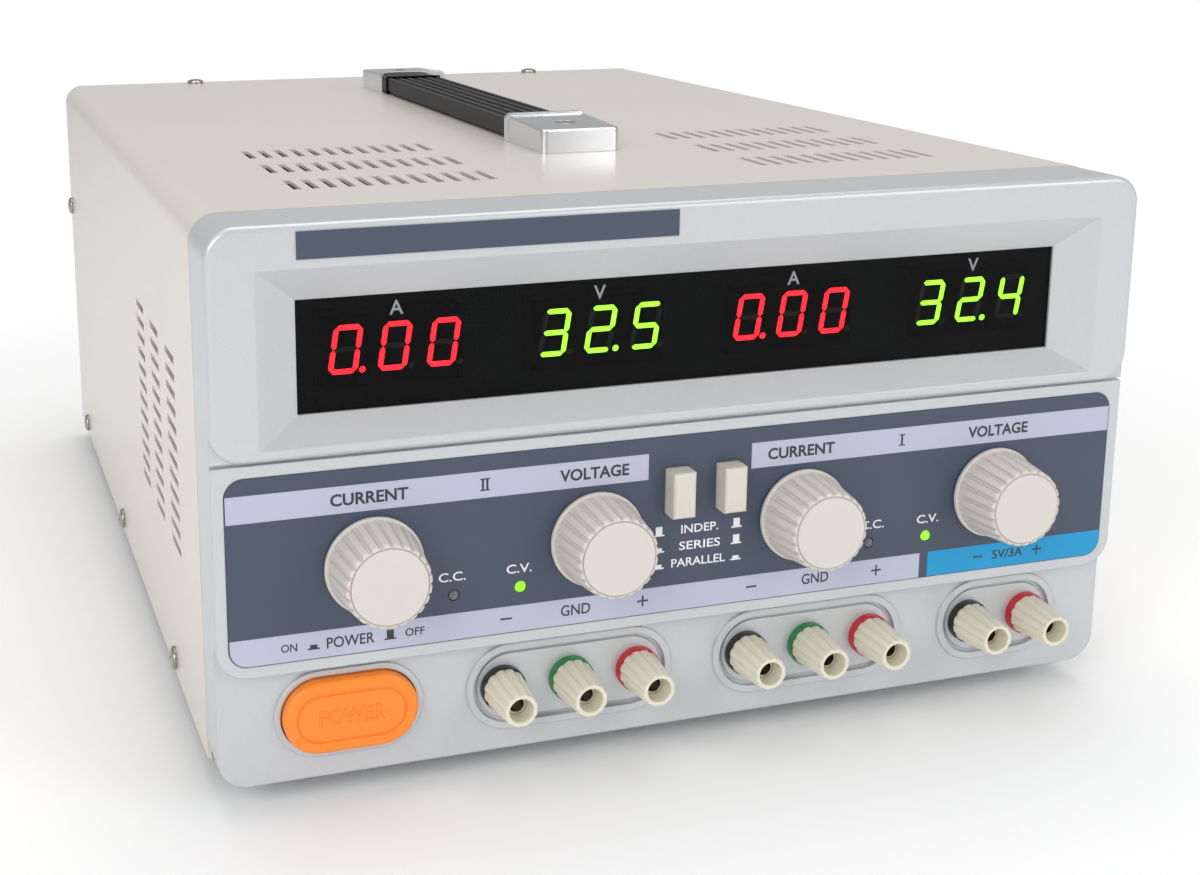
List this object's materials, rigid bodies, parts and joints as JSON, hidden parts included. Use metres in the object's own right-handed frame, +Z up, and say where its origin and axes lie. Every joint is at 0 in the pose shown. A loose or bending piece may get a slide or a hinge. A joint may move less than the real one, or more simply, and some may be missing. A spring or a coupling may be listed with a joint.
{
  "type": "bench power supply",
  "caption": "Bench power supply with adjustable outputs: sloped-frame numeral window, fluted knobs, push buttons, clamping terminals, vented cover, strap handle and rear fan.",
  "frame": {"origin": "middle of the footprint, on the surface it stands on", "axes": "+X to the right as seen from the front, the front faces -Y, +Z up"},
  "size_m": [0.269, 0.3792, 0.1651],
  "materials": {
    "bezel": "silver-grey metallic moulding, fine sparkle, satin",
    "cover": "warm beige-grey enamel, semi-gloss",
    "tray": "zinc-plated folded steel",
    "rear": "warm beige-grey enamel, semi-gloss",
    "window": "smoked clear acrylic, polished",
    "overlay": "printed film, blue-grey, fine satin",
    "strip": "plain satin strip",
    "knob_skirt": "off-white moulded plastic, satin",
    "shaft": "turned aluminium",
    "pot": "stamped steel can",
    "button": "off-white moulded plastic",
    "power_cap": "dark grey moulded plastic, satin",
    "switch": "black moulded plastic",
    "red_digits": "numeral module, red segments",
    "green_digits": "numeral module, yellow-green segments",
    "board": "green circuit board",
    "lamp_unlit": "red diffused lamp, unlit",
    "lamp_lit": "green diffused lamp, lit",
    "black_part": "black moulded plastic",
    "green_part": "green moulded plastic",
    "red_part": "red moulded plastic",
    "nut": "cream moulded plastic",
    "plated": "nickel-plated brass",
    "screw": "zinc-plated steel",
    "cap": "grey moulded plastic",
    "strap": "black ribbed rubber",
    "foot": "black rubber",
    "lamination": "stacked laminations, dipped in varnish",
    "coil": "winding wrapped in yellow tape",
    "sink": "black anodised extrusion",
    "package": "black moulded packages",
    "fan": "black moulded plastic",
    "can": "dark blue sleeve",
    "inlet": "black moulded plastic",
    "slider": "red moulded plastic"
  },
  "bodies": {
    "case": {"front_bezel": "bezel", "top_cover": "cover", "chassis_tray": "tray", "rear_panel": "rear", "display_window": "window", "panel_overlay": "overlay", "name_strip": "strip", "handle_cap_front": "cap", "handle_cap_rear": "cap", "handle_screws": "screw", "case_screws": "screw", "feet": "foot", "foot_screws": "screw", "pot_bodies": "pot", "track_switches": "switch", "power_switch": "switch", "current_displays": "red_digits", "voltage_displays": "green_digits", "meter_board": "board", "current_lamps": "lamp_unlit", "voltage_lamps": "lamp_lit", "control_board": "board", "post_collars_black": "black_part", "post_collars_green": "green_part", "post_collars_red": "red_part", "post_stems": "plated", "post_back_nuts": "plated", "transformer_core": "lamination", "transformer_coils": "coil", "heatsink": "sink", "power_transistors": "package", "fan_frame": "fan", "regulator_board": "board", "filter_capacitors": "can", "mains_inlet": "inlet", "voltage_selector": "inlet"},
    "current_control_2": {"current_knob_2": "knob_skirt", "current_shaft_2": "shaft"},
    "voltage_control_2": {"voltage_knob_2": "knob_skirt", "voltage_shaft_2": "shaft"},
    "current_control_1": {"current_knob_1": "knob_skirt", "current_shaft_1": "shaft"},
    "voltage_control_1": {"voltage_knob_1": "knob_skirt", "voltage_shaft_1": "shaft"},
    "track_left": {"track_button_left": "button"},
    "track_right": {"track_button_right": "button"},
    "power": {"power_button": "power_cap"},
    "clamp_1": {"post_nut_1": "nut"},
    "clamp_2": {"post_nut_2": "nut"},
    "clamp_3": {"post_nut_3": "nut"},
    "clamp_4": {"post_nut_4": "nut"},
    "clamp_5": {"post_nut_5": "nut"},
    "clamp_6": {"post_nut_6": "nut"},
    "clamp_7": {"post_nut_7": "nut"},
    "clamp_8": {"post_nut_8": "nut"},
    "rotor": {"fan_rotor": "fan"},
    "strap": {"handle_strap": "strap"},
    "drawer": {"fuse_drawer": "inlet"},
    "selector": {"selector_slider": "slider"}
  },
  "joints": [
    {"name": "current_turn_2", "type": "hinge", "parent": "case", "child": "current_control_2", "pos_m": [-0.0915, -0.17305, 0.0665], "axis": [0, 1, 0], "range_deg": [-150, 150]},
    {"name": "voltage_turn_2", "type": "hinge", "parent": "case", "child": "voltage_control_2", "pos_m": [-0.0305, -0.17305, 0.0665], "axis": [0, 1, 0], "range_deg": [-150, 150]},
    {"name": "current_turn_1", "type": "hinge", "parent": "case", "child": "current_control_1", "pos_m": [0.0305, -0.17305, 0.0665], "axis": [0, 1, 0], "range_deg": [-150, 150]},
    {"name": "voltage_turn_1", "type": "hinge", "parent": "case", "child": "voltage_control_1", "pos_m": [0.0915, -0.17305, 0.0665], "axis": [0, 1, 0], "range_deg": [-150, 150]},
    {"name": "track_press_left", "type": "slide", "parent": "case", "child": "track_left", "axis": [0, 1, 0], "range_m": [0, 0.0035]},
    {"name": "track_press_right", "type": "slide", "parent": "case", "child": "track_right", "axis": [0, 1, 0], "range_m": [0, 0.0035]},
    {"name": "power_release", "type": "slide", "parent": "case", "child": "power", "axis": [0, -1, 0], "range_m": [0, 0.0035]},
    {"name": "clamp_open_1", "type": "slide", "parent": "case", "child": "clamp_1", "axis": [0, -1, 0], "range_m": [0, 0.003]},
    {"name": "clamp_open_2", "type": "slide", "parent": "case", "child": "clamp_2", "axis": [0, -1, 0], "range_m": [0, 0.003]},
    {"name": "clamp_open_3", "type": "slide", "parent": "case", "child": "clamp_3", "axis": [0, -1, 0], "range_m": [0, 0.003]},
    {"name": "clamp_open_4", "type": "slide", "parent": "case", "child": "clamp_4", "axis": [0, -1, 0], "range_m": [0, 0.003]},
    {"name": "clamp_open_5", "type": "slide", "parent": "case", "child": "clamp_5", "axis": [0, -1, 0], "range_m": [0, 0.003]},
    {"name": "clamp_open_6", "type": "slide", "parent": "case", "child": "clamp_6", "axis": [0, -1, 0], "range_m": [0, 0.003]},
    {"name": "clamp_open_7", "type": "slide", "parent": "case", "child": "clamp_7", "axis": [0, -1, 0], "range_m": [0, 0.003]},
    {"name": "clamp_open_8", "type": "slide", "parent": "case", "child": "clamp_8", "axis": [0, -1, 0], "range_m": [0, 0.003]},
    {"name": "fan_spin", "type": "hinge", "parent": "case", "child": "rotor", "pos_m": [0.058, 0.16315, 0.092], "axis": [0, 1, 0], "continuous": true},
    {"name": "strap_slide", "type": "slide", "parent": "case", "child": "strap", "axis": [0, 1, 0], "range_m": [-0.003, 0.003]},
    {"name": "drawer_slide", "type": "slide", "parent": "case", "child": "drawer", "axis": [0, 1, 0], "range_m": [0, 0.016]},
    {"name": "selector_slide", "type": "slide", "parent": "case", "child": "selector", "axis": [1, 0, 0], "range_m": [0, 0.007]}
  ]
}
